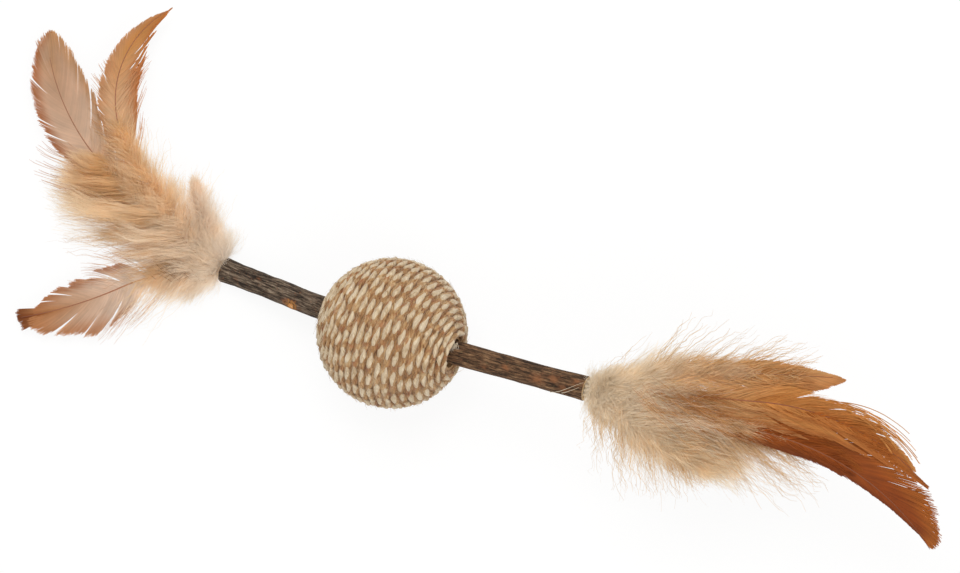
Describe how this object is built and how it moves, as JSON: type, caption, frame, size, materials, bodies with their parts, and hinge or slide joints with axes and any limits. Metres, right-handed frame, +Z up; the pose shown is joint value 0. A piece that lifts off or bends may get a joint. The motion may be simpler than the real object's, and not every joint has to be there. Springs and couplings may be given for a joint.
{
  "type": "cat teaser wand",
  "caption": "Barked twig with a twine-wound ball at mid length and a plume of swaying feathers glued into each end; a loose stick toy for cats.",
  "frame": {"origin": "the point of the floor under the middle of the ball, on the flat of its lowest turns", "axes": "+X along the floor under the ball's bore towards the raised right plume, +Z up"},
  "size_m": [0.2679, 0.0948, 0.0499],
  "materials": {
    "bark": "rough ridged bark",
    "core_wood": "plain turned softwood",
    "jute_twine": "two-ply natural fibre",
    "hot_glue": "set clear glue",
    "quill": "smooth horn",
    "pinkish_tan_feather": "soft sheen",
    "orange_tan_feather": "soft sheen",
    "chestnut_feather": "soft sheen",
    "cream_down": "loose down"
  },
  "bodies": {
    "stick_and_ball": {"stick": "bark", "ball_core": "core_wood", "twine_winding": "jute_twine", "left_ball_glue": "hot_glue", "right_ball_glue": "hot_glue", "left_down_quill": "quill", "left_curved_quill": "quill", "left_tall_quill": "quill", "left_low_quill": "quill", "left_socket_glue": "hot_glue", "right_short_quill": "quill", "right_middle_quill": "quill", "right_long_quill": "quill", "right_down_quill": "quill", "right_socket_glue": "hot_glue"},
    "left_down": {"left_down_feather": "cream_down"},
    "left_curved": {"left_curved_feather": "orange_tan_feather"},
    "left_tall": {"left_tall_feather": "pinkish_tan_feather"},
    "left_low": {"left_low_feather": "pinkish_tan_feather"},
    "right_short": {"right_short_feather": "chestnut_feather"},
    "right_middle": {"right_middle_feather": "chestnut_feather"},
    "right_long": {"right_long_feather": "chestnut_feather"},
    "right_down": {"right_down_feather": "cream_down"}
  },
  "joints": [
    {"name": "left_down_sway", "type": "hinge", "parent": "stick_and_ball", "child": "left_down", "pos_m": [-0.05002, 0.00387, 0.00247], "axis": [0.6947, 0.7193, 0], "range_deg": [-15, 15], "stiffness_Nm_per_rad": 0.000149, "springref_deg": 8.02},
    {"name": "left_curved_sway", "type": "hinge", "parent": "stick_and_ball", "child": "left_curved", "pos_m": [-0.05008, 0.00268, 0.00245], "axis": [0.4695, 0.8829, 0], "range_deg": [-15, 15], "stiffness_Nm_per_rad": 0.00254, "springref_deg": 3.05},
    {"name": "left_tall_sway", "type": "hinge", "parent": "stick_and_ball", "child": "left_tall", "pos_m": [-0.05013, 0.00148, 0.00243], "axis": [0.3907, 0.9205, 0], "range_deg": [-15, 15], "stiffness_Nm_per_rad": 0.00389, "springref_deg": 3.47},
    {"name": "left_low_sway", "type": "hinge", "parent": "stick_and_ball", "child": "left_low", "pos_m": [-0.05019, 0.00028, 0.00241], "axis": [-0.1736, 0.9848, 0], "range_deg": [-15, 15], "stiffness_Nm_per_rad": 0.000791, "springref_deg": 4.45},
    {"name": "right_short_sway", "type": "hinge", "parent": "stick_and_ball", "child": "right_short", "pos_m": [0.05408, 0.0041, 0.03792], "axis": [0.4848, -0.8746, 0], "range_deg": [-15, 15], "stiffness_Nm_per_rad": 0.00159, "springref_deg": 4.2},
    {"name": "right_middle_sway", "type": "hinge", "parent": "stick_and_ball", "child": "right_middle", "pos_m": [0.05414, 0.0029, 0.03794], "axis": [0.2419, -0.9703, 0], "range_deg": [-15, 15], "stiffness_Nm_per_rad": 0.00227, "springref_deg": 2.31},
    {"name": "right_long_sway", "type": "hinge", "parent": "stick_and_ball", "child": "right_long", "pos_m": [0.0542, 0.0017, 0.03796], "axis": [0.1045, -0.9945, 0], "range_deg": [-15, 15], "stiffness_Nm_per_rad": 0.00363, "springref_deg": 2.15},
    {"name": "right_down_sway", "type": "hinge", "parent": "stick_and_ball", "child": "right_down", "pos_m": [0.05426, 0.0005, 0.03798], "axis": [-0.225, -0.9744, 0], "range_deg": [-15, 15], "stiffness_Nm_per_rad": 0.00247, "springref_deg": 4.21}
  ]
}
